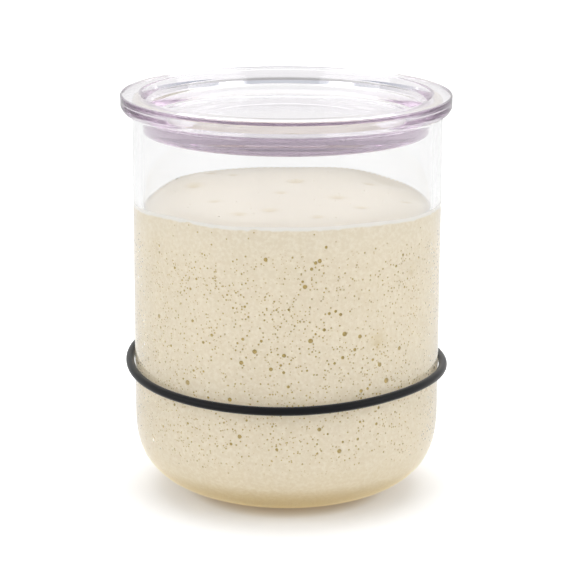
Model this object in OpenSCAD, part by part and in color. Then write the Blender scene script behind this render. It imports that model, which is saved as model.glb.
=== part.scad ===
// Sourdough starter jar: a straight-sided glass jar with a rounded heel, a clear lid that drops
// into its mouth, a rubber ring that marks the level, and the starter that fills the jar.
// Origin: centre of the base, on the table. +Z is up, and the photographed side faces -Y.

/* [Jar] */
// Outer diameter of the straight wall
jar_d = 86; // [78:0.5:100]
// Height of the glass rim above the table
jar_h = 108.4; // [100:0.2:130]
// Thickness of the side wall
wall_t = 2.7; // [2:0.1:3.5]
// Thickness of the glass under the starter
base_t = 4.2; // [3:0.1:6]
// Diameter of the flat foot that stands on the table
foot_d = 40; // [30:0.5:48]
// Height of the push-up inside the foot
punt_h = 0.6; // [0.3:0.1:1.5]
// Width of the flat standing ring around the push-up
foot_w = 3; // [2:0.5:6]
// Diameter of the middle of the base, where the heel curve starts
heel_start_d = 5.4; // [2:0.2:16]
// Height of the heel curve
heel_h = 25.8; // [20:0.2:30]
// Squareness of the heel curve, where 2 is an ellipse
heel_p = 3.16; // [2.4:0.02:4]

/* [Lid] */
// How far the brim stands out past the glass
brim_over = 2.9; // [2:0.1:5]
// Thickness of the brim above the glass rim
brim_t = 4.4; // [3:0.1:6]
// Width of the flat top of the brim
brim_w = 5; // [3.6:0.1:6]
// Height of the undercut below the brim's outer face
undercut_h = 1.2; // [0.6:0.1:2]
// How far the undercut draws in
undercut_w = 0.6; // [0.2:0.1:1.2]
// Rounding of the undercut's upper edge
undercut_round = 0.2; // [0.1:0.05:0.6]
// Rounding of the brim's outer top edge
brim_round = 0.45; // [0.2:0.05:0.8]
// Height of the plug below the glass rim
plug_h = 6.1; // [4:0.1:9]
// Play between the plug and the inside of the glass
plug_play = 0.4; // [0.35:0.05:2]
// Draft of the plug's side, from top to bottom
plug_draft = 0.2; // [0.05:0.05:0.8]
// Rounding of the plug's lower edge
plug_round = 1.8; // [0.5:0.1:2.5]
// Rounding of the recess's upper edge
recess_round = 0.9; // [0.3:0.1:1.2]
// Slope of the bevel round the recess, from the level, in degrees
bevel_slope = 51.6; // [45:0.2:60]
// Depth of that bevel below the brim's top
bevel_h = 2.1; // [1.6:0.1:2.6]
// Rounding below the bevel
bevel_round = 1.1; // [0.4:0.1:1.6]
// Slope of the recess wall, from the level, in degrees
wall_slope = 73.6; // [68:0.2:84]
// Fillet between the recess wall and its floor
floor_round = 3.9; // [1:0.1:4]
// How far the recess floor lies below the glass rim
recess_drop = 2.3; // [1.6:0.1:3]
// Diameter of the raised disc on the recess floor
pad_d = 49; // [40:0.5:60]
// Height of that disc
pad_h = 0.35; // [0.2:0.05:0.6]

/* [Marker band] */
// Thickness of the rubber ring's round section
band_t = 2.4; // [1.6:0.1:4]
// Height of the ring's middle above the table
band_z = 36.4; // [34:0.2:70]
// Forward tilt of the ring, in degrees
band_tilt = 2.2; // [0:0.1:5]
// Sideways tilt of the ring, down towards +X, in degrees
band_lean = 0.9; // [0:0.1:3]

/* [Starter] */
// Level of the starter at the glass
starter_z = 83.2; // [60:0.2:90]
// Height of its crown above that level
crown_h = 0.8; // [0:0.1:2]
// Height that the starter creeps up the glass
creep_h = 0.5; // [0.1:0.1:1]

/* [Clearances] */
// Gap between the brim and the glass rim that it rests on
seat_gap = 0.1; // [0.05:0.05:0.3]
// Gap between the rubber ring and the glass
band_gap = 0.15; // [0.1:0.05:0.3]
// Gap between the starter and the glass
fill_gap = 0.1; // [0.05:0.05:0.3]

/* [Hidden] */
$fn = 128;
jar_r = jar_d / 2;
bore_r = jar_r - wall_t;
foot_r = foot_d / 2;
heel_w = jar_r - heel_start_d / 2;
heel_steps = 28;
round_steps = 8;
brim_r = jar_r + brim_over;
rim_z = jar_h + seat_gap;
brim_top = rim_z + brim_t;
recess_r = brim_r - brim_w;
recess_z = rim_z - recess_drop;
bevel_z = brim_top - bevel_h;
pad_r = pad_d / 2;
plug_r = bore_r - plug_play;
plug_z = rim_z - plug_h;
crown_steps = 10;
starter_r = bore_r - fill_gap;

// Share of the heel curve's run and rise at angle t, from 0 on the base to 90 on the wall
function heel_run(t) = pow(sin(t), 2 / heel_p);
function heel_rise(t) = 1 - pow(cos(t), 2 / heel_p);

// Points of a heel that starts at angle t0, ends on radius r and stands on height z
function heel(r, w, h, z, t0 = 0) =
    [for (i = [0 : heel_steps]) let (t = t0 + (90 - t0) * i / heel_steps)
        [r - w + w * heel_run(t), z + h * (heel_rise(t))]];

// Points of an arc about the centre c, from angle a to angle b
function arc(c, r, a, b) =
    [for (i = [0 : round_steps]) let (t = a + (b - a) * i / round_steps)
        c + r * [cos(t), sin(t)]];

// Points of a rounding of radius r in the corner c of the line from a over c to b
function rounded(a, c, b, r) =
    let (u = (a - c) / norm(a - c), v = (b - c) / norm(b - c), half = acos(u * v) / 2)
    let (mid = c + (u + v) / norm(u + v) * r / sin(half))
    let (from = c + u * r / tan(half) - mid, to = c + v * r / tan(half) - mid)
    [for (i = [0 : round_steps]) let (w = from + (to - from) * i / round_steps)
        mid + w * r / norm(w)];

// The flat foot cuts the outer heel curve off where it reaches the foot's edge
foot_t = asin(pow((foot_r - jar_r + heel_w) / heel_w, heel_p / 2));
foot_cut = heel_h * heel_rise(foot_t);
bore_w = heel_w - wall_t;
bore_h = heel_h - foot_cut - base_t;

module glass_jar() {
    rim_r = jar_r - wall_t / 2;
    color([0.85, 0.9, 0.9, 0.35])
    rotate_extrude()
        polygon(concat(
            [[0, punt_h], [foot_r - foot_w - punt_h, punt_h], [foot_r - foot_w, 0]],
            heel(jar_r, heel_w, heel_h, -foot_cut, foot_t),
            arc([rim_r, jar_h - wall_t / 2], wall_t / 2, 0, 180),
            [for (i = [heel_steps : -1 : 0]) heel(bore_r, bore_w, bore_h, base_t)[i]],
            [[0, base_t]]
        ));
}

module lid() {
    edge = arc([recess_r, brim_top - recess_round], recess_round, 90, 90 + bevel_slope);
    start = edge[round_steps];
    bevel = [start[0] - (start[1] - bevel_z) / tan(bevel_slope), bevel_z];
    foot = [bevel[0] - (bevel_z - recess_z) / tan(wall_slope), recess_z];
    color([0.83, 0.8, 0.88, 0.5])
    rotate_extrude()
        polygon(concat(
            [[0, plug_z]],
            rounded([0, plug_z], [plug_r - plug_draft, plug_z], [plug_r, rim_z], plug_round),
            [[plug_r, rim_z], [brim_r - undercut_w, rim_z]],
            rounded([brim_r - undercut_w, rim_z], [brim_r, rim_z + undercut_h],
                [brim_r, brim_top], undercut_round),
            arc([brim_r - brim_round, brim_top - brim_round], brim_round, 0, 90),
            edge,
            rounded(start, bevel, foot, bevel_round),
            rounded(bevel, foot, [0, recess_z], floor_round),
            [[pad_r + pad_h, recess_z], [pad_r, recess_z + pad_h], [0, recess_z + pad_h]]
        ));
}

module marker_band() {
    band_r = (jar_r + band_gap + band_t / 2) / cos(band_tilt) / cos(band_lean);
    color([0.1, 0.1, 0.1])
    translate([0, 0, band_z])
        rotate([band_tilt, band_lean, 0])
            rotate_extrude()
                translate([band_r, 0]) circle(d = band_t, $fn = 32);
}

module starter() {
    base = base_t + fill_gap;
    color([0.93, 0.89, 0.8])
    rotate_extrude()
        polygon(concat(
            [[0, base]],
            heel(starter_r, bore_w, bore_h, base),
            [[starter_r, starter_z + creep_h]],
            [for (i = [0 : crown_steps]) let (x = 1 - i / crown_steps)
                [(starter_r - creep_h) * x, starter_z + crown_h * (1 - x * x)]]
        ));
}

glass_jar();
lid();
marker_band();
starter();
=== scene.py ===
"""Looks of the sourdough starter jar: clear glass, a faintly lavender clear lid, a black rubber
ring and a bubbly starter. Lengths are in metres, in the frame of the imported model, +Z up, and
the photographed side faces -Y."""

import math

import bmesh
import bpy
import numpy as np
from mathutils import Matrix, Vector, noise
from mathutils.geometry import delaunay_2d_cdt


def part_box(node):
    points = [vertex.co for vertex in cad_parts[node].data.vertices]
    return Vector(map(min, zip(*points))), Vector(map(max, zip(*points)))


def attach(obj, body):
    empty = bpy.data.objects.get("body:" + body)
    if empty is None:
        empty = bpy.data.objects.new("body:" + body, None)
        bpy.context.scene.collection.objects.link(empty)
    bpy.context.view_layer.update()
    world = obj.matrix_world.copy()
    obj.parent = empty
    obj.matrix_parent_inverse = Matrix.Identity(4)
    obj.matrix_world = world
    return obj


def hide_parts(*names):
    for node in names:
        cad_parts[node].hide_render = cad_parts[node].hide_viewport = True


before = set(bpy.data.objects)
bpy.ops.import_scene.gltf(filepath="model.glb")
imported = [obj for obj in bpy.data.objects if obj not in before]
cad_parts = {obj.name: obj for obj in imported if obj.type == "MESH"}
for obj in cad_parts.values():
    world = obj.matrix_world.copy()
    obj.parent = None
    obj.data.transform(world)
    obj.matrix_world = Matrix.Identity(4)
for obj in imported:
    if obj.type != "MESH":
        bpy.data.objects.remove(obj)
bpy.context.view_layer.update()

MM = 0.001

# Sides of a turned piece, and the length beside a corner over which its shading levels out
SEGMENTS = 256
SUPPORT = 0.15 * MM
SHARP_ANGLE = 35

# Glass: the sizes that its profile follows, as in the solid that it stands for
JAR_R = 43 * MM
JAR_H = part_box("glass_jar")[1].z
WALL_T = 2.7 * MM
BASE_T = 4.2 * MM
BORE_R = JAR_R - WALL_T
FOOT_R = 20 * MM
FOOT_W = 3 * MM
PUNT_H = 0.6 * MM
HEEL_W = 40.3 * MM
HEEL_H = 25.8 * MM
HEEL_P = 3.16
HEEL_STEPS = 48

# Lid
LID_SEAT = JAR_H + 0.1 * MM
LID_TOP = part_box("lid")[1].z
BRIM_R = JAR_R + 2.9 * MM
BRIM_ROUND = 0.45 * MM
UNDERCUT_W = 0.6 * MM
UNDERCUT_H = 1.2 * MM
UNDERCUT_ROUND = 0.2 * MM
RECESS_R = BRIM_R - 5 * MM
RECESS_Z = LID_SEAT - 2.3 * MM
RECESS_ROUND = 0.9 * MM
BEVEL_SLOPE = 51.6
BEVEL_Z = LID_TOP - 2.1 * MM
BEVEL_ROUND = 1.1 * MM
WALL_SLOPE = 73.6
FLOOR_ROUND = 3.9 * MM
PAD_R = 24.5 * MM
PAD_H = 0.35 * MM
PLUG_R = BORE_R - 0.4 * MM
PLUG_Z = LID_SEAT - 6.1 * MM
PLUG_DRAFT = 0.2 * MM
PLUG_ROUND = 1.8 * MM
# The lid lies a little to one side in its loose fit
LID_ASIDE = -0.35 * MM

# Clear materials: refraction of both, and the lid's faint lavender, which thickness brings out
CLEAR_IOR = 1.5
LID_ROUGHNESS = 0.02
LID_TINT = (0.645, 0.55, 0.645, 1)
LID_TINT_DENSITY = 30

# Rubber, with a little dust that shows where the ring curves away
RUBBER_TONE = (0.005, 0.005, 0.006, 1)
RUBBER_ROUGHNESS = 0.42
RUBBER_SPECULAR = 0.08
DUST = 0.38
DUST_ROUGHNESS = 0.4

# World: its light on plain surfaces, and its colour
WORLD_LIGHT = 0.15
PLAIN_WHITE = (1, 1, 1, 1)
# Glass and gloss show it greyer overhead, from one height of the ray's direction to another
SKY_TONE = (0.45, 0.5, 0.58, 1)
SKY_FROM = 0.5
SKY_TO = 0.8

# Soft lamps: name, place, size and power in watts. All aim at the middle of the jar.
LAMPS = (
    ("soft_left", (-1.25, -0.73, 0.6), (1.6, 1.1), 18.2),
    ("soft_right", (1.32, -0.6, 0.6), (1.6, 1.1), 18.2),
    ("soft_top", (0, 0.42, 1.35), (1.6, 1.4), 16.5),
)
LAMP_TARGET = (0, 0, 0.06)

# Light passes many surfaces in the lid and wall before it leaves them
LIGHT_BOUNCES = 48

# Floor: half its width, and how far it lies below the jar
FLOOR_REACH = 3.0
FLOOR_DROP = 0.05 * MM
FLOOR_ROUGHNESS = 0.9

# Distances on the floor are taken from this point
FADE_MIDDLE = (0, -5 * MM, 0)
# The camera sees the floor's own white grow with that distance
FLOOR_SEEN = 0.1
FAR_SEEN = 0.6
FADE_FROM = 24 * MM
FADE_TO = 62 * MM
# Rays that pass the glass or mirror in it see that white fall off
NEAR_THROUGH = 0.5
FAR_THROUGH = 0.075
THROUGH_FROM = 40 * MM
THROUGH_TO = 90 * MM

# Colours of the floor: plain, painted warm light under the heel, and of the light that the glass
# sees near it
FLOOR_TONE = (0.78, 0.78, 0.78, 1)
WARM_LIGHT_TONE = (0.6, 0.43, 0.12, 1)
WARM_FROM = 14 * MM
WARM_TO = 28 * MM
GOLDEN_TONE = (1, 0.85, 0.5, 1)
GOLDEN_FROM = 30 * MM
GOLDEN_TO = 70 * MM

# Camera: place, focal length and sensor in mm, and how many degrees it looks down and is rolled
CAMERA_PLACE = (0.32 * MM, -633.02 * MM, 220.7 * MM)
CAMERA_LENS = 144.76
CAMERA_SENSOR = 36
CAMERA_DOWN = 14.5
CAMERA_ROLL = 0.233

# Rubber ring: its section, the radius and height of its middle, and its sides round and across
BAND_T = 2.4 * MM
BAND_R = JAR_R + 0.15 * MM + BAND_T / 2
BAND_Z = 36.3 * MM
BAND_AROUND = 256
BAND_ACROSS = 24

# Waves of the ring, in mm: their number, rise at the front and rise a quarter wave towards +X
BAND_WAVES = ((1, -1.51, -0.49), (2, -0.24, 0.64), (3, 0.1, 0.19), (4, -0.15, -0.17))

# Starter, which wets the inside of the glass
WETTING = 0.08 * MM
DOUGH_R = BORE_R + WETTING
DOUGH_BASE = BASE_T - WETTING
# Its level at the glass, and the height from which its side follows that level's waves
DOUGH_Z = 83.2 * MM
LEVEL_STARTS = 70 * MM
# Its crown, the dip beside the glass, and the creep up the glass
CROWN = 0.9 * MM
EDGE_SLUMP = 0.7 * MM
SLUMP_REACH = 3 * MM
CREEP_REACH = 0.5 * MM
# Share of that dip at the back, and the cosines of the angle between which it changes
BACK_SLUMP = 0.2
BACK_BELOW = -0.7
FRONT_ABOVE = 0.1

# Waves of the level at the glass, in mm: their mean, and the number, rise and phase of each
LEVEL_MEAN = 0.3
LEVEL_WAVES = ((2, 0.75, 0), (4, -0.35, 0), (5, 0.22, 0.6 - math.pi / 2), (9, 0.12, 1.0))

# Mesh of the starter: points of its outline, and sides of its base, level and seam
OUTLINE_POINTS = 600
BASE_SIDES = 64
RIM_SIDES = 256
SEAM_SIDES = 48
DOUGH_SHARP_ANGLE = 38
# Spacing of its points, and how far they are shaken, as a share of it
SIDE_SPACING = 1.7 * MM
TOP_SPACING = 0.9 * MM
SHAKE = 0.15
# Rings of points near the top's edge, in mm from it, and how far its grid and bubbles keep off
EDGE_RINGS = (0.12, 0.35, 0.7, 1.2, 1.8)
TOP_GRID_MARGIN = 2.4 * MM
TOP_BUBBLE_MARGIN = 4 * MM

# Points nearer than a hair to the level's rim lie on it, and points nearer than WELD are joined
HAIR = 0.01 * MM
WELD = 0.001 * MM

# Bubbles: where they start on the base, the least gap between two, and depth as a share of radius
BUBBLES_FROM_R = 14 * MM
BUBBLE_GAP = 0.1 * MM
BUBBLE_DEPTH = 0.9
# Tries at a bubble in the top, and their smallest and largest radius in mm
TOP_BUBBLES = 60
TOP_BUBBLE_RADII = (0.12, 0.4)
SEED = 11

# Large bubbles seen at the front: degrees round from the front, height and diameter in mm
LARGE_BUBBLES = (
    (6.7, 67.9, 1.25), (8.9, 53.0, 1.35), (22.0, 54.3, 1.35), (28.3, 53.1, 1.15),
    (-11.9, 49.9, 1.3), (-5.8, 45.2, 1.1), (10.6, 74.1, 0.95), (9.1, 72.6, 0.9),
    (14.5, 77.9, 0.8), (15.9, 60.3, 0.9), (20.3, 59.8, 0.95), (14.0, 55.9, 0.95),
    (26.2, 49.6, 1.0), (21.3, 47.8, 1.0), (-16.4, 53.1, 0.9), (-9.4, 52.9, 0.85),
    (40.7, 39.4, 1.6), (47.3, 47.6, 1.2), (-40.2, 38.6, 1.5), (-21.6, 35.9, 1.2),
    (-17.7, 25.8, 1.2), (29.1, 37.8, 1.1), (0.7, 40.4, 0.9), (12.4, 28.2, 1.1),
)

# Number of tries and the diameters in mm of the scattered bubbles, the largest first
BUBBLE_SIZES = ((60, 1.0, 1.3), (420, 0.65, 0.9), (10000, 0.4, 0.6))
BUBBLES_FROM_Z = 13 * MM

# Patches in which the scattered bubbles crowd: the jar's radius in patches, and a patch's height
CROWD_RADIUS = 3.2
CROWD_HEIGHT = 13 * MM
# How much finer the fine patches are, the mean crowding, what both kinds add, and the least
CROWD_FINER = 2.7
CROWD_MEAN = 0.7
CROWD_WIDE = 0.55
CROWD_FINE = 0.35
CROWD_LEAST = 0.1
# Share of the crowding at the level, and the stretches below it and above the foot where it grows
CROWD_AT_LEVEL = 0.06
LEVEL_CLEAR = 5 * MM
LEVEL_FADE = 8 * MM
FOOT_FADE = 9 * MM

# Least distance of a bubble's rim from the base and the level, and of its middle from the seam
BASE_CLEAR = 0.6 * MM
RIM_CLEAR = 0.5 * MM
SEAM_CLEAR = 1.5 * MM

# Pits below a radius in mm: sides of the rim, and share of radius and of depth at each inner ring
PIT_DETAIL = (
    (0.22, 8, ((0.7, 0.7),)),
    (0.36, 12, ((0.86, 0.5), (0.5, 0.87))),
    (math.inf, 18, ((0.94, 0.34), (0.78, 0.63), (0.5, 0.87), (0.25, 0.97))),
)

# Painted shade of a pit's rim beside its middle, and of a small pit beside a large one
PIT_RIM_SHADE = 0.8
SMALL_PIT_SHADE = 0.65
SMALL_PIT_R = 0.1 * MM
LARGE_PIT_R = 0.4 * MM
# Painted shade of the small pits in the top
TOP_PIT_SHADE = 0.25

# The finest bubbles, painted shade too small to model: spacing, and radii and soft edge as shares
# of it
FINE_SPACING = 1.08 * MM
FINE_RADII = (0.08, 0.3)
FINE_EDGE = 0.06
# Their strength between swarms and in a swarm, and the noise that makes the swarms
FINE_STRENGTHS = (0.3, 0.75)
SWARM_SCALE = 55
SWARM_FROM = 0.4
SWARM_TO = 0.55
# Heights between which they fade out below the level, and from which they are in full
FINE_FADE_FROM = DOUGH_Z - 10 * MM
FINE_FADE_TO = DOUGH_Z - 4 * MM
FINE_FULL_FROM = BUBBLES_FROM_Z + 6 * MM

# Colours of the starter: two tones in clouds, and a fine foam over them
DOUGH_ROUGHNESS = 0.45
DOUGH_TONE = (0.81, 0.715, 0.535, 1)
DOUGH_LIGHT = (0.86, 0.77, 0.595, 1)
CLOUD_SCALE = 70
FOAM_TONE = (0.95, 0.88, 0.73, 1)
FOAM_SCALE = 1000
FOAM_FROM = 0.4
FOAM_TO = 0.7
FOAM_STRENGTH = 0.6
# Its top, paler partly in its own tone and partly with painted light from above, and the dough just
# above the foot
TOP_TONE_AND_LIGHT = (0.885, 0.81, 0.68, 1)
FOOT_SHADE_TONE = (0.48, 0.31, 0.03, 1)
FOOT_TONE_FROM = 11 * MM
FOOT_TONE_TO = 5 * MM
# Painted shade in its bubbles, and the film at its level on the glass, paler with painted light
PIT_SHADE_TONE = (0.52, 0.37, 0.06, 1)
FILM_LIGHT_TONE = (0.93, 0.9, 0.84, 1)
FILM_FROM = 0.35
FILM_TO = 0.6

# Painted shade of bubbles dim behind dough: degrees from the front, height, half sizes in mm, and
# strength
SOFT_PATCHES = (
    (36.4, 50.4, 2.2, 2.8, 0.36), (54.2, 67.9, 1.8, 2.0, 0.34), (32.0, 62.0, 1.6, 1.8, 0.18),
    (27.0, 64.5, 1.4, 1.6, 0.15), (-58.0, 74.0, 2.0, 3.0, 0.2), (150.0, 58.0, 2.4, 2.6, 0.25),
    (-130.0, 44.0, 2.2, 2.4, 0.25), (95.0, 39.0, 2.0, 2.2, 0.2),
)

# Humps of the top: x, y, height and width in mm. They fade out over HUMPS_CLEAR at the glass.
HUMPS = (
    (-29, 20, 0.9, 9), (8, 30, 0.7, 10), (-4, -4, 0.3, 13), (30, 24, -1.3, 10),
    (22, -22, 0.4, 9), (-14, -26, 0.3, 8), (36, 2, -0.6, 7), (-12, 26, 0.3, 7),
)
HUMPS_CLEAR = 4 * MM

# Painted shade of a popped bubble, and its lip: radius and width as shares of its radius, rise of
# depth
POPPED_SHADE = 0.3
LIP_RADIUS = 1.15
LIP_WIDTH = 0.3
LIP_RISE = 0.25
# Popped bubbles in the top: x, y, depth and width in mm
POPPED = (
    (-32, 22.7, 0.35, 3.2), (-23, 27.8, 0.5, 3.6), (-26.8, 12.4, 0.4, 4.2), (2.5, 17.8, 0.5, 4.4),
    (-16, 25.8, 0.2, 2.4), (-19.9, -8, 0.15, 3.0), (-1.7, 1.5, 0.25, 3.0), (-4.6, -20.3, 0.3, 4.0),
    (-12.7, -25.4, 0.25, 3.6), (14, -3, 0.25, 4.2), (20, -16, 0.2, 3.4), (24, 20, 0.35, 3.0),
    (33, -4, 0.3, 3.0), (8, -28, 0.2, 3.0),
)


def heel_curve(t):
    """Share of the heel's run and rise at angle t, from 0 on the base to a right angle."""
    run = math.sin(t) ** (2 / HEEL_P)
    rise = 1 - max(math.cos(t), 0) ** (2 / HEEL_P)
    return run, rise


def heel(radius, width, height, base, start=0.0):
    """Points of a heel that ends on radius and stands on base."""
    points = []
    for i in range(HEEL_STEPS + 1):
        run, rise = heel_curve(start + (math.pi / 2 - start) * i / HEEL_STEPS)
        points.append((radius - width + width * run, base + height * rise))
    return points


def arc(r, z, radius, start, end, steps=8):
    """Points of an arc about (r, z), with its angles in degrees."""
    angles = [math.radians(start + (end - start) * i / steps) for i in range(steps + 1)]
    return [(r + radius * math.cos(a), z + radius * math.sin(a)) for a in angles]


FOOT_START = math.asin(((FOOT_R - JAR_R + HEEL_W) / HEEL_W) ** (HEEL_P / 2))
FOOT_CUT = HEEL_H * heel_curve(FOOT_START)[1]
BORE_W = HEEL_W - WALL_T
BORE_H = HEEL_H - FOOT_CUT - BASE_T


def new_object(name, mesh):
    """A new object in the scene for a mesh."""
    obj = bpy.data.objects.new(name, mesh)
    bpy.context.scene.collection.objects.link(obj)
    return obj


def supported(profile):
    """The profile with a point near both ends of each long stretch, so that the smooth shading of
    a corner stays at that corner and doesn't bend what is seen through a straight wall."""
    points = [profile[0]]
    for start, end in zip(profile, profile[1:]):
        length = math.dist(start, end)
        shares = [1]
        if length > 4 * SUPPORT:
            shares = [SUPPORT / length, 1 - SUPPORT / length, 1]
        for share in shares:
            points.append(tuple(a + (b - a) * share for a, b in zip(start, end)))
    return points


def revolve(name, profile):
    """A closed solid of revolution. The profile starts and ends on the axis."""
    profile = supported(profile)
    rings = profile[1:-1]
    verts = [(0, 0, profile[0][1])]
    for r, z in rings:
        for i in range(SEGMENTS):
            a = 2 * math.pi * i / SEGMENTS
            verts.append((r * math.cos(a), r * math.sin(a), z))
    verts.append((0, 0, profile[-1][1]))
    last = len(verts) - 1
    faces = []
    for i in range(SEGMENTS):
        j = (i + 1) % SEGMENTS
        faces.append((0, 1 + j, 1 + i))
        for k in range(len(rings) - 1):
            low = 1 + k * SEGMENTS
            high = low + SEGMENTS
            faces.append((low + i, low + j, high + j, high + i))
        top = 1 + (len(rings) - 1) * SEGMENTS
        faces.append((top + i, top + j, last))
    mesh = bpy.data.meshes.new(name)
    mesh.from_pydata(verts, [], faces)
    mesh.validate()
    mesh.shade_smooth()
    mesh.set_sharp_from_angle(angle=math.radians(SHARP_ANGLE))
    return new_object(name, mesh)


def principled(name):
    """A new material with its principled shader, nodes and links."""
    material = bpy.data.materials.new(name)
    material.use_nodes = True
    nodes = material.node_tree.nodes
    return material, nodes["Principled BSDF"], nodes, material.node_tree.links


def clear_material(name, roughness):
    """A new clear material with its nodes and links."""
    material, shader, nodes, links = principled(name)
    shader.inputs["Base Color"].default_value = PLAIN_WHITE
    shader.inputs["Roughness"].default_value = roughness
    shader.inputs["IOR"].default_value = CLEAR_IOR
    shader.inputs["Transmission Weight"].default_value = 1.0
    return material, nodes, links


def glass_material():
    return clear_material("clear_glass", 0.0)[0]


def lid_material():
    material, nodes, links = clear_material("clear_lavender", LID_ROUGHNESS)
    tint = nodes.new("ShaderNodeVolumeAbsorption")
    tint.inputs["Color"].default_value = LID_TINT
    tint.inputs["Density"].default_value = LID_TINT_DENSITY
    links.new(tint.outputs["Volume"], nodes["Material Output"].inputs["Volume"])
    return material


def rubber_material():
    material, shader, nodes, links = principled("black_rubber")
    shader.inputs["Base Color"].default_value = RUBBER_TONE
    shader.inputs["Roughness"].default_value = RUBBER_ROUGHNESS
    shader.inputs["Specular IOR Level"].default_value = RUBBER_SPECULAR
    shader.inputs["Sheen Weight"].default_value = DUST
    shader.inputs["Sheen Roughness"].default_value = DUST_ROUGHNESS
    return material


def ramp(nodes, links, value, low, high, at_low=0.0, at_high=1.0):
    """An even ramp of a value: at_low up to low, and at_high from high on."""
    node = nodes.new("ShaderNodeMapRange")
    node.inputs["From Min"].default_value = low
    node.inputs["From Max"].default_value = high
    node.inputs["To Min"].default_value = at_low
    node.inputs["To Max"].default_value = at_high
    links.new(value, node.inputs["Value"])
    return node.outputs["Result"]


def maths(nodes, links, operation, first, second):
    """One operation on two values, each an output or a number."""
    node = nodes.new("ShaderNodeMath")
    node.operation = operation
    for socket, value in zip(node.inputs, (first, second)):
        if isinstance(value, (int, float)):
            socket.default_value = value
        else:
            links.new(value, socket)
    return node.outputs[0]


def blend(nodes, links, factor, under, colour):
    """A colour laid over another by a factor. What lies under is a colour or an output."""
    node = nodes.new("ShaderNodeMix")
    node.data_type = "RGBA"
    links.new(factor, node.inputs["Factor"])
    if isinstance(under, tuple):
        node.inputs["A"].default_value = under
    else:
        links.new(under, node.inputs["A"])
    node.inputs["B"].default_value = colour
    return node.outputs["Result"]


def upward(nodes, links, vector):
    """The height in a vector."""
    node = nodes.new("ShaderNodeSeparateXYZ")
    links.new(vector, node.inputs["Vector"])
    return node.outputs["Z"]


def noise_texture(nodes, links, place, scale, detail):
    """A noise at a place, about 0.5 on average."""
    node = nodes.new("ShaderNodeTexNoise")
    node.inputs["Scale"].default_value = scale
    node.inputs["Detail"].default_value = detail
    links.new(place, node.inputs["Vector"])
    return node.outputs["Fac"]


def attribute(nodes, name):
    """A value that the mesh keeps at its points."""
    node = nodes.new("ShaderNodeAttribute")
    node.attribute_name = name
    return node.outputs["Fac"]


def fine_bubbles(nodes, links, place, height):
    """How strongly the painted shade of the finest bubbles shows: one dot in each cell, in swarms,
    and none near the level or the foot."""
    cells = nodes.new("ShaderNodeTexVoronoi")
    cells.inputs["Scale"].default_value = 1 / FINE_SPACING
    links.new(place, cells.inputs["Vector"])
    size = ramp(nodes, links, cells.outputs["Color"], 0, 1, *FINE_RADII)
    inside = maths(nodes, links, "SUBTRACT", size, cells.outputs["Distance"])
    dots = ramp(nodes, links, inside, 0, FINE_EDGE)
    swarm = noise_texture(nodes, links, place, SWARM_SCALE, detail=1)
    for share in (ramp(nodes, links, swarm, SWARM_FROM, SWARM_TO, *FINE_STRENGTHS),
                  ramp(nodes, links, height, FINE_FADE_FROM, FINE_FADE_TO, 1, 0),
                  ramp(nodes, links, height, BUBBLES_FROM_Z, FINE_FULL_FROM)):
        dots = maths(nodes, links, "MULTIPLY", dots, share)
    return dots


def dough_material():
    material, shader, nodes, links = principled("starter_dough")
    shader.inputs["Roughness"].default_value = DOUGH_ROUGHNESS
    place = nodes.new("ShaderNodeTexCoord").outputs["Object"]
    height = upward(nodes, links, place)
    clouds = noise_texture(nodes, links, place, CLOUD_SCALE, detail=4)
    colour = blend(nodes, links, clouds, DOUGH_TONE, DOUGH_LIGHT)
    foam = noise_texture(nodes, links, place, FOAM_SCALE, detail=2)
    foam = ramp(nodes, links, foam, FOAM_FROM, FOAM_TO, 0, FOAM_STRENGTH)
    colour = blend(nodes, links, foam, colour, FOAM_TONE)
    # Painted shade: light that reaches the dough above the foot has passed through more of it
    foot = ramp(nodes, links, height, FOOT_TONE_TO, FOOT_TONE_FROM, 1, 0)
    colour = blend(nodes, links, foot, colour, FOOT_SHADE_TONE)
    # Painted shade of the finest bubbles
    colour = blend(nodes, links, fine_bubbles(nodes, links, place, height), colour, PIT_SHADE_TONE)
    # The top is paler, partly in its own tone and partly with painted light from above
    colour = blend(nodes, links, attribute(nodes, "top"), colour, TOP_TONE_AND_LIGHT)
    # Painted shade in the pits, the popped bubbles and the bubbles behind the dough
    colour = blend(nodes, links, attribute(nodes, "pit_shade"), colour, PIT_SHADE_TONE)
    # Painted light: the thin film at the level is paler
    film = ramp(nodes, links, attribute(nodes, "film"), FILM_FROM, FILM_TO)
    colour = blend(nodes, links, film, colour, FILM_LIGHT_TONE)
    links.new(colour, shader.inputs["Base Color"])
    return material


def glass_profile():
    rim_r = JAR_R - WALL_T / 2
    points = [(0, PUNT_H), (FOOT_R - FOOT_W - PUNT_H, PUNT_H), (FOOT_R - FOOT_W, 0)]
    points += heel(JAR_R, HEEL_W, HEEL_H, -FOOT_CUT, FOOT_START)
    points += arc(rim_r, JAR_H - WALL_T / 2, WALL_T / 2, 0, 180, steps=16)
    points += heel(BORE_R, BORE_W, BORE_H, BASE_T)[::-1]
    return points + [(0, BASE_T)]


def rounded(before, corner, after, radius, steps=8):
    """Points that round the corner between two straight stretches."""
    corner = Vector(corner)
    back = (Vector(before) - corner).normalized()
    ahead = (Vector(after) - corner).normalized()
    half = back.angle(ahead) / 2
    centre = corner + (back + ahead).normalized() * radius / math.sin(half)
    start = corner + back * radius / math.tan(half) - centre
    end = corner + ahead * radius / math.tan(half) - centre
    return [tuple(centre + start.lerp(end, i / steps).normalized() * radius)
            for i in range(steps + 1)]


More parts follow.
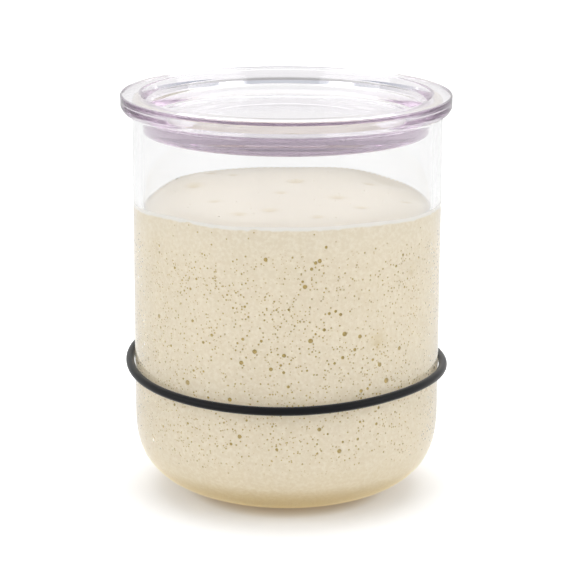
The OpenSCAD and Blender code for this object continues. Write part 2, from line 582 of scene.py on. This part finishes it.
def lid_profile():
    bottom_r = PLUG_R - PLUG_DRAFT
    undercut = (BRIM_R, LID_SEAT + UNDERCUT_H)
    points = [(0, PLUG_Z)]
    points += arc(bottom_r - PLUG_ROUND, PLUG_Z + PLUG_ROUND, PLUG_ROUND, -90, 0, steps=12)
    points += [(PLUG_R, LID_SEAT), (BRIM_R - UNDERCUT_W, LID_SEAT)]
    points += rounded(points[-1], undercut, (BRIM_R, LID_TOP), UNDERCUT_ROUND)
    points += arc(BRIM_R - BRIM_ROUND, LID_TOP - BRIM_ROUND, BRIM_ROUND, 0, 90)
    points += arc(RECESS_R, LID_TOP - RECESS_ROUND, RECESS_ROUND, 90, 90 + BEVEL_SLOPE, steps=16)
    start = points[-1]
    bevel_r = start[0] - (start[1] - BEVEL_Z) / math.tan(math.radians(BEVEL_SLOPE))
    foot_r = bevel_r - (BEVEL_Z - RECESS_Z) / math.tan(math.radians(WALL_SLOPE))
    bevel = (bevel_r, BEVEL_Z)
    foot = (foot_r, RECESS_Z)
    points += rounded(start, bevel, foot, BEVEL_ROUND)
    points += rounded(bevel, foot, (0, RECESS_Z), FLOOR_ROUND, steps=16)
    points += [(PAD_R + PAD_H, RECESS_Z), (PAD_R, RECESS_Z + PAD_H)]
    return points + [(0, RECESS_Z + PAD_H)]


def make_glass():
    glass = revolve("glass_wall", glass_profile())
    glass.data.materials.append(glass_material())
    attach(glass, "jar")
    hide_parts("glass_jar")


def make_lid():
    lid = revolve("clear_lid", lid_profile())
    lid.data.materials.append(lid_material())
    lid.data.transform(Matrix.Translation((LID_ASIDE, 0, 0)))
    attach(lid, "lid")
    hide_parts("lid")


def make_band():
    """The rubber ring, tilted towards the front and slightly wavy, as it was pulled on by hand."""
    verts = []
    faces = []
    for i in range(BAND_AROUND):
        a = 2 * math.pi * i / BAND_AROUND
        middle = BAND_Z
        for count, rise, side in BAND_WAVES:
            middle += (rise * math.cos(count * a) + side * math.sin(count * a)) * MM
        here = i * BAND_ACROSS
        ahead = (i + 1) % BAND_AROUND * BAND_ACROSS
        for j in range(BAND_ACROSS):
            b = 2 * math.pi * j / BAND_ACROSS
            r = BAND_R + BAND_T / 2 * math.cos(b)
            verts.append((r * math.sin(a), -r * math.cos(a), middle + BAND_T / 2 * math.sin(b)))
            k = (j + 1) % BAND_ACROSS
            faces.append((here + j, ahead + j, ahead + k, here + k))
    mesh = bpy.data.meshes.new("rubber_ring")
    mesh.from_pydata(verts, [], faces)
    mesh.shade_smooth()
    band = new_object("rubber_ring", mesh)
    band.data.materials.append(rubber_material())
    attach(band, "band")
    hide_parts("marker_band")


def smooth_step(x):
    """0 below 0, 1 above 1, and a smooth rise between."""
    x = np.clip(x, 0, 1)
    return x * x * (3 - 2 * x)


def dough_outline():
    """The starter's side, from the middle of its base up to its level at the glass: radius r,
    height z, inward normal (nr, nz) and length v along it, and the length where bubbles start."""
    points = np.array([(0, DOUGH_BASE)] + heel(DOUGH_R, BORE_W, BORE_H, DOUGH_BASE)
                      + [(DOUGH_R, DOUGH_Z)])
    steps = np.diff(points, axis=0)
    lengths = np.concatenate([[0], np.cumsum(np.hypot(steps[:, 0], steps[:, 1]))])
    even = np.linspace(0, lengths[-1], OUTLINE_POINTS)
    r = np.interp(even, lengths, points[:, 0])
    z = np.interp(even, lengths, points[:, 1])
    return {"v": even, "r": r, "z": z, "nr": -np.gradient(z, even), "nz": np.gradient(r, even),
            "low": float(np.interp(BUBBLES_FROM_R, r, even))}


def along(outline, v, key):
    """One measure of the outline at a length v along it."""
    return np.interp(v, outline["v"], outline[key])


def level_at_glass(angle):
    """Height of the starter at the glass above DOUGH_Z. The angle is 0 at the front."""
    waves = [rise * np.cos(count * angle + phase) for count, rise, phase in LEVEL_WAVES]
    return MM * (LEVEL_MEAN + sum(waves))


def side_points(outline, angle, v, depth):
    """Points of the side at an angle from the front and a length v up the outline, sunk in."""
    r = along(outline, v, "r") + depth * along(outline, v, "nr")
    z = along(outline, v, "z") + depth * along(outline, v, "nz")
    z = z + level_at_glass(angle) * smooth_step((z - LEVEL_STARTS) / (DOUGH_Z - LEVEL_STARTS))
    return np.stack([r * np.sin(angle), -r * np.cos(angle), z], 1)


def crowding(angle, z):
    """How thickly bubbles sit at a place of the side, from 0 to 1."""
    at = Vector((math.sin(angle) * CROWD_RADIUS, math.cos(angle) * CROWD_RADIUS, z / CROWD_HEIGHT))
    wide = noise.noise(at)
    fine = noise.noise(at * CROWD_FINER + Vector((7, 3, 5)))
    crowd = np.clip(CROWD_MEAN + CROWD_WIDE * wide + CROWD_FINE * fine, CROWD_LEAST, 1)
    top = smooth_step((DOUGH_Z - LEVEL_CLEAR - z) / LEVEL_FADE)
    foot = smooth_step((z - BUBBLES_FROM_Z) / FOOT_FADE)
    return float(crowd * (CROWD_AT_LEVEL + (1 - CROWD_AT_LEVEL) * top) * foot)


def scatter_bubbles(outline, rng):
    """Gas bubbles against the glass: angle, length up the outline and radius of each."""
    cell = 4 * MM
    taken = {}
    bubbles = []
    v_low = outline["low"]
    v_high = outline["v"][-1]

    def fits(u, v, radius, squeeze):
        key = (int(u // cell), int(v // cell))
        for i in (-1, 0, 1):
            for j in (-1, 0, 1):
                for other_u, other_v, other in taken.get((key[0] + i, key[1] + j), ()):
                    apart = math.hypot((u - other_u) * squeeze, v - other_v)
                    if apart < radius + other + BUBBLE_GAP:
                        return False
        taken.setdefault(key, []).append((u, v, radius))
        return True

    def add(angle, v, radius):
        if v - radius < v_low + BASE_CLEAR or v + radius > v_high - RIM_CLEAR:
            return
        if abs(angle) * DOUGH_R > math.pi * DOUGH_R - SEAM_CLEAR:
            return
        if fits(angle * DOUGH_R, v, radius, along(outline, v, "r") / DOUGH_R):
            bubbles.append((angle, v, radius))

    for degrees, height, diameter in LARGE_BUBBLES:
        v = float(np.interp(height * MM, outline["z"], outline["v"]))
        add(math.radians(degrees), v, diameter * MM / 2)
    for count, low, high in BUBBLE_SIZES:
        for _ in range(count):
            angle = rng.uniform(-math.pi, math.pi)
            v = rng.uniform(v_low, v_high)
            radius = rng.uniform(low, high) * MM / 2
            crowd = crowding(angle, along(outline, v, "z"))
            if rng.uniform() < crowd * along(outline, v, "r") / DOUGH_R:
                add(angle, v, radius)
    return bubbles


def pit_rings(radius):
    """Sides of a bubble's rim, and the share of its radius and depth at each ring inside it."""
    return next(detail[1:] for detail in PIT_DETAIL if radius < detail[0] * MM)


def pitted_sheet(flat_rim, flat_points, bubbles, spacing):
    """Triangulates a flat domain around its bubbles' rims. Returns flat points, each one's share of
    its bubble's depth, its bubble's number or -1, and the faces. A bubble is (x, y, radius,
    stretch), where stretch widens its rim along x."""
    points = [tuple(p) for p in flat_rim] + [tuple(p) for p in flat_points]
    owner = [-1] * len(points)
    edges = [(i, (i + 1) % len(flat_rim)) for i in range(len(flat_rim))]
    rims = []
    for number, (x, y, radius, stretch) in enumerate(bubbles):
        sides, _ = pit_rings(radius)
        start = len(points)
        for k in range(sides):
            a = 2 * math.pi * k / sides
            points.append((x + radius * stretch * math.cos(a), y + radius * math.sin(a)))
            owner.append(number)
            edges.append((start + k, start + (k + 1) % sides))
        rims.append(start)
    # The triangulation works in units of the spacing, so that its tolerance is small beside them
    scaled = [Vector((x / spacing, y / spacing)) for x, y in points]
    faces, origins = delaunay_2d_cdt(scaled, edges, [], 1, 1e-7, True)[2:4]
    if not all(origins):
        raise RuntimeError("the triangulation added a point of its own")
    # A face with all its corners on one bubble's rim lies inside it, and gives way to its pit
    kept = []
    for face in faces:
        ids = [origins[i][0] for i in face]
        owners = {owner[i] for i in ids}
        if owners == {-1} or len(owners) > 1:
            kept.append(ids)
    depth = [0.0] * len(points)
    for number, (x, y, radius, stretch) in enumerate(bubbles):
        sides, rings = pit_rings(radius)
        outer = rims[number]
        for share, sunk in rings:
            inner = len(points)
            for k in range(sides):
                a = 2 * math.pi * k / sides
                points.append((x + share * radius * stretch * math.cos(a),
                               y + share * radius * math.sin(a)))
                owner.append(number)
                depth.append(sunk)
                kept.append((outer + k, outer + (k + 1) % sides,
                             inner + (k + 1) % sides, inner + k))
            outer = inner
        points.append((x, y))
        owner.append(number)
        depth.append(1.0)
        for k in range(sides):
            kept.append((outer + k, outer + (k + 1) % sides, len(points) - 1))
    return np.array(points), np.array(depth), np.array(owner), kept


def grid_points(x_low, x_high, y_low, y_high, spacing, rng, bubbles):
    """Staggered, slightly shaken points in a rectangle, clear of the bubbles."""
    cell = 2 * MM
    near = {}
    for x, y, radius, stretch in bubbles:
        reach = radius * stretch + 0.25 * spacing
        for i in range(int((x - reach) // cell), int((x + reach) // cell) + 1):
            for j in range(int((y - reach) // cell), int((y + reach) // cell) + 1):
                near.setdefault((i, j), []).append((x, y, radius * stretch + 0.2 * spacing))
    points = []
    row = 0
    y = y_low
    while y < y_high:
        x = x_low + (spacing / 2 if row % 2 else 0)
        while x < x_high:
            px = x + rng.uniform(-SHAKE, SHAKE) * spacing
            py = y + rng.uniform(-SHAKE, SHAKE) * spacing
            close = near.get((int(px // cell), int(py // cell)), ())
            if all(math.hypot(px - bx, py - by) > reach for bx, by, reach in close):
                points.append((px, py))
            x += spacing
        y += spacing * 0.866
        row += 1
    return points


def dough_side(outline, bubbles, rng):
    """Points, painted shade and faces of the side and base of the starter."""
    v_low = outline["low"]
    v_high = float(outline["v"][-1])
    tall = v_high - v_low
    half = math.pi * DOUGH_R
    flat = [(angle * DOUGH_R, v, radius, DOUGH_R / along(outline, v, "r"))
            for angle, v, radius in bubbles]
    rim = [(-half + 2 * half * i / BASE_SIDES, v_low) for i in range(BASE_SIDES)]
    rim += [(half, v_low + tall * i / SEAM_SIDES) for i in range(SEAM_SIDES)]
    rim += [(half - 2 * half * i / RIM_SIDES, v_high) for i in range(RIM_SIDES)]
    rim += [(-half, v_high - tall * i / SEAM_SIDES) for i in range(SEAM_SIDES)]
    inset = 0.6 * SIDE_SPACING
    inner = grid_points(-half + inset, half - inset, v_low + inset, v_high - inset,
                        SIDE_SPACING, rng, flat)
    points, depth, owner, faces = pitted_sheet(rim, inner, flat, SIDE_SPACING)
    radii = np.array([b[2] for b in bubbles] + [0.0])
    sunk = depth * radii[owner] * BUBBLE_DEPTH
    angle = points[:, 0] / DOUGH_R
    solid = side_points(outline, angle, points[:, 1], sunk)
    # Painted shade, darker towards a pit's bottom and in large pits, and in patches over bubbles
    # behind dough
    large = smooth_step((radii[owner] - SMALL_PIT_R) / (LARGE_PIT_R - SMALL_PIT_R))
    shade = PIT_RIM_SHADE + (1 - PIT_RIM_SHADE) * depth
    shade = shade * (SMALL_PIT_SHADE + (1 - SMALL_PIT_SHADE) * large) * (depth > 0)
    for degrees, level, half_width, half_height, amount in SOFT_PATCHES:
        du = (angle - math.radians(degrees)) * DOUGH_R / (half_width * MM)
        dz = (solid[:, 2] - level * MM) / (half_height * MM)
        shade = np.maximum(shade, amount * np.exp(-du ** 2 - dz ** 2) * (owner < 0))
    film = (points[:, 1] > v_high - HAIR).astype(float)
    centre = len(solid)
    faces += [(centre, i + 1, i) for i in range(BASE_SIDES)]
    solid = np.vstack([solid, [0, 0, DOUGH_BASE]])
    return solid, np.append(shade, 0), np.append(film, 0), faces


def dough_height(x, y):
    """Height of the starter's top: a slumped crown with soft humps and popped bubbles."""
    r = np.hypot(x, y)
    angle = np.arctan2(x, -y)
    share = np.clip(r / DOUGH_R, 0, 1)
    z = DOUGH_Z + level_at_glass(angle) * share ** 2
    z = z + CROWN * (1 - share ** 2)
    edge = DOUGH_R - r
    front = smooth_step((np.cos(angle) - BACK_BELOW) / (FRONT_ABOVE - BACK_BELOW))
    slump = EDGE_SLUMP * (BACK_SLUMP + (1 - BACK_SLUMP) * front)
    z = z - slump * np.exp(-(edge / SLUMP_REACH) ** 2)
    z = z + slump * np.exp(-edge / CREEP_REACH)
    for px, py, height, width in HUMPS:
        d = np.hypot(x - px * MM, y - py * MM) / (width * MM)
        z = z + height * MM * np.exp(-d * d) * smooth_step(edge / HUMPS_CLEAR)
    for px, py, deep, width in POPPED:
        d = np.hypot(x - px * MM, y - py * MM) / (width * MM / 2)
        lip = np.exp(-((d - LIP_RADIUS) / LIP_WIDTH) ** 2)
        z = z - deep * MM * np.exp(-d ** 4) + LIP_RISE * deep * MM * lip
    return z


def dough_top(rng):
    """Points, painted shade and faces of the top of the starter."""
    rim = []
    for i in range(RIM_SIDES):
        a = math.pi - 2 * math.pi * i / RIM_SIDES
        rim.append((DOUGH_R * math.sin(a), -DOUGH_R * math.cos(a)))
    inner = []
    for edge in EDGE_RINGS:
        for i in range(RIM_SIDES // 2):
            a = 2 * math.pi * (2 * i + 1) / RIM_SIDES
            r = DOUGH_R - edge * MM
            inner.append((r * math.sin(a), -r * math.cos(a)))
    pits = []
    for _ in range(TOP_BUBBLES):
        a = rng.uniform(-math.pi, math.pi)
        r = (DOUGH_R - TOP_BUBBLE_MARGIN) * math.sqrt(rng.uniform())
        radius = rng.uniform(*TOP_BUBBLE_RADII) * MM
        x, y = r * math.sin(a), -r * math.cos(a)
        if all(math.hypot(x - p[0], y - p[1]) > radius + p[2] + BUBBLE_GAP for p in pits):
            pits.append((x, y, radius, 1.0))
    reach = DOUGH_R - TOP_GRID_MARGIN
    grid = grid_points(-reach, reach, -reach, reach, TOP_SPACING, rng, pits)
    inner += [p for p in grid if math.hypot(*p) < reach]
    points, depth, owner, faces = pitted_sheet(rim, inner, pits, TOP_SPACING)
    radii = np.array([p[2] for p in pits] + [0.0])
    z = dough_height(points[:, 0], points[:, 1])
    edge_z = DOUGH_Z + level_at_glass(np.arctan2(points[:, 0], -points[:, 1]))
    on_rim = np.hypot(points[:, 0], points[:, 1]) > DOUGH_R - HAIR
    z = np.where(on_rim, edge_z, z - depth * radii[owner])
    # Painted shade in the top's small pits and popped bubbles
    shade = TOP_PIT_SHADE * depth
    for px, py, _, width in POPPED:
        d = np.hypot(points[:, 0] - px * MM, points[:, 1] - py * MM) / (width * MM / 2)
        shade = np.maximum(shade, POPPED_SHADE * np.exp(-d ** 2))
    return np.column_stack([points, z]), shade, on_rim.astype(float), faces


def make_dough():
    """The starter: a pitted side and base pressed to the glass, and a slumped top."""
    rng = np.random.RandomState(SEED)
    outline = dough_outline()
    bubbles = scatter_bubbles(outline, rng)
    side, side_shade, side_film, side_faces = dough_side(outline, bubbles, rng)
    top, top_shade, top_film, top_faces = dough_top(rng)
    verts = np.vstack([side, top])
    faces = side_faces + [[i + len(side) for i in face] for face in top_faces]
    mesh = bpy.data.meshes.new("bubbly_dough")
    mesh.from_pydata(verts.tolist(), [], faces)
    for name, parts in (("pit_shade", (side_shade, top_shade)), ("film", (side_film, top_film)),
                        ("top", (side_film * 0, 1 - top_film))):
        values = mesh.attributes.new(name, "FLOAT", "POINT")
        values.data.foreach_set("value", np.concatenate(parts).astype(np.float32))
    work = bmesh.new()
    work.from_mesh(mesh)
    bmesh.ops.remove_doubles(work, verts=work.verts, dist=WELD)
    bmesh.ops.recalc_face_normals(work, faces=work.faces)
    work.to_mesh(mesh)
    work.free()
    mesh.shade_smooth()
    mesh.set_sharp_from_angle(angle=math.radians(DOUGH_SHARP_ANGLE))
    dough = new_object("bubbly_dough", mesh)
    dough.data.materials.append(dough_material())
    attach(dough, "jar")
    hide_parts("starter")


def make_camera():
    """The photograph's viewpoint, found from the outlines of the jar, lid and ring."""
    camera = bpy.data.cameras.new("camera")
    camera.lens = CAMERA_LENS
    camera.sensor_width = CAMERA_SENSOR
    obj = new_object("camera", camera)
    obj.location = CAMERA_PLACE
    down = math.radians(CAMERA_DOWN)
    view = Vector((0, math.cos(down), -math.sin(down)))
    turn = view.to_track_quat("-Z", "Y").to_matrix().to_4x4()
    roll = Matrix.Rotation(math.radians(CAMERA_ROLL), 4, Vector((0, 0, 1)))
    obj.rotation_euler = (turn @ roll).to_euler()
    bpy.context.scene.camera = obj


def ray_kinds(nodes, links):
    """Two values that are 1 for some rays and 0 for all others: those straight from the camera, and
    those that have just mirrored in or passed through something."""
    path = nodes.new("ShaderNodeLightPath").outputs
    bent = maths(nodes, links, "MAXIMUM", path["Is Glossy Ray"], path["Is Transmission Ray"])
    return path["Is Camera Ray"], bent


def make_world():
    """A faint light on plain surfaces. The camera sees it as plain white. So do gloss and glass,
    but greyer overhead, and what passes the glass lights the starter."""
    world = bpy.data.worlds.new("world")
    bpy.context.scene.world = world
    world.use_nodes = True
    nodes = world.node_tree.nodes
    links = world.node_tree.links
    back = nodes["Background"]
    seen, bent = ray_kinds(nodes, links)
    white = maths(nodes, links, "MAXIMUM", seen, bent)
    links.new(maths(nodes, links, "MAXIMUM", white, WORLD_LIGHT), back.inputs["Strength"])
    height = upward(nodes, links, nodes.new("ShaderNodeTexCoord").outputs["Generated"])
    overhead = ramp(nodes, links, height, SKY_FROM, SKY_TO)
    overhead = maths(nodes, links, "MULTIPLY", overhead, bent)
    links.new(blend(nodes, links, overhead, PLAIN_WHITE, SKY_TONE), back.inputs["Color"])


def make_floor():
    """The pale floor, with a glow that only the camera, gloss and glass see. Through the glass it
    also lights the starter."""
    mesh = bpy.data.meshes.new("floor")
    signs = ((-1, -1), (1, -1), (1, 1), (-1, 1))
    corners = [(x * FLOOR_REACH, y * FLOOR_REACH, 0) for x, y in signs]
    mesh.from_pydata(corners, [], [(0, 1, 2, 3)])
    floor = new_object("floor", mesh)
    floor.location.z = -FLOOR_DROP
    material, shader, nodes, links = principled("pale_floor")
    shader.inputs["Roughness"].default_value = FLOOR_ROUGHNESS
    distance = nodes.new("ShaderNodeVectorMath")
    distance.operation = "DISTANCE"
    distance.inputs[1].default_value = FADE_MIDDLE
    links.new(nodes.new("ShaderNodeTexCoord").outputs["Object"], distance.inputs[0])
    distance = distance.outputs["Value"]
    # Under the heel the floor is painted with the warm light that has passed through the starter
    warm = ramp(nodes, links, distance, WARM_FROM, WARM_TO, 1, 0)
    links.new(blend(nodes, links, warm, FLOOR_TONE, WARM_LIGHT_TONE), shader.inputs["Base Color"])
    # Away from the jar and its shadow the floor runs out into plain white
    seen, bent = ray_kinds(nodes, links)
    away = ramp(nodes, links, distance, FADE_FROM, FADE_TO, FLOOR_SEEN, FAR_SEEN)
    near = ramp(nodes, links, distance, THROUGH_FROM, THROUGH_TO, NEAR_THROUGH, FAR_THROUGH)
    strength = maths(nodes, links, "MAXIMUM", maths(nodes, links, "MULTIPLY", away, seen),
                     maths(nodes, links, "MULTIPLY", near, bent))
    # Glass and gloss see a painted golden glow on the floor near the jar
    golden = ramp(nodes, links, distance, GOLDEN_FROM, GOLDEN_TO, 1, 0)
    golden = maths(nodes, links, "MULTIPLY", golden, bent)
    glow = nodes.new("ShaderNodeEmission")
    links.new(blend(nodes, links, golden, PLAIN_WHITE, GOLDEN_TONE), glow.inputs["Color"])
    links.new(strength, glow.inputs["Strength"])
    add = nodes.new("ShaderNodeAddShader")
    links.new(shader.outputs[0], add.inputs[0])
    links.new(glow.outputs[0], add.inputs[1])
    links.new(add.outputs[0], nodes["Material Output"].inputs["Surface"])
    floor.data.materials.append(material)


def make_lights():
    for name, place, size, power in LAMPS:
        light = bpy.data.lights.new(name, "AREA")
        light.shape = "RECTANGLE"
        light.size, light.size_y = size
        light.energy = power
        obj = new_object(name, light)
        obj.location = place
        aim = Vector(LAMP_TARGET) - Vector(place)
        obj.rotation_euler = aim.to_track_quat("-Z", "Y").to_euler()


bpy.context.scene.view_settings.view_transform = "Standard"
bpy.context.scene.cycles.max_bounces = LIGHT_BOUNCES
bpy.context.scene.cycles.transmission_bounces = LIGHT_BOUNCES
bpy.context.scene.cycles.glossy_bounces = LIGHT_BOUNCES
make_camera()
make_glass()
make_lid()
make_band()
make_dough()
make_floor()
make_world()
make_lights()
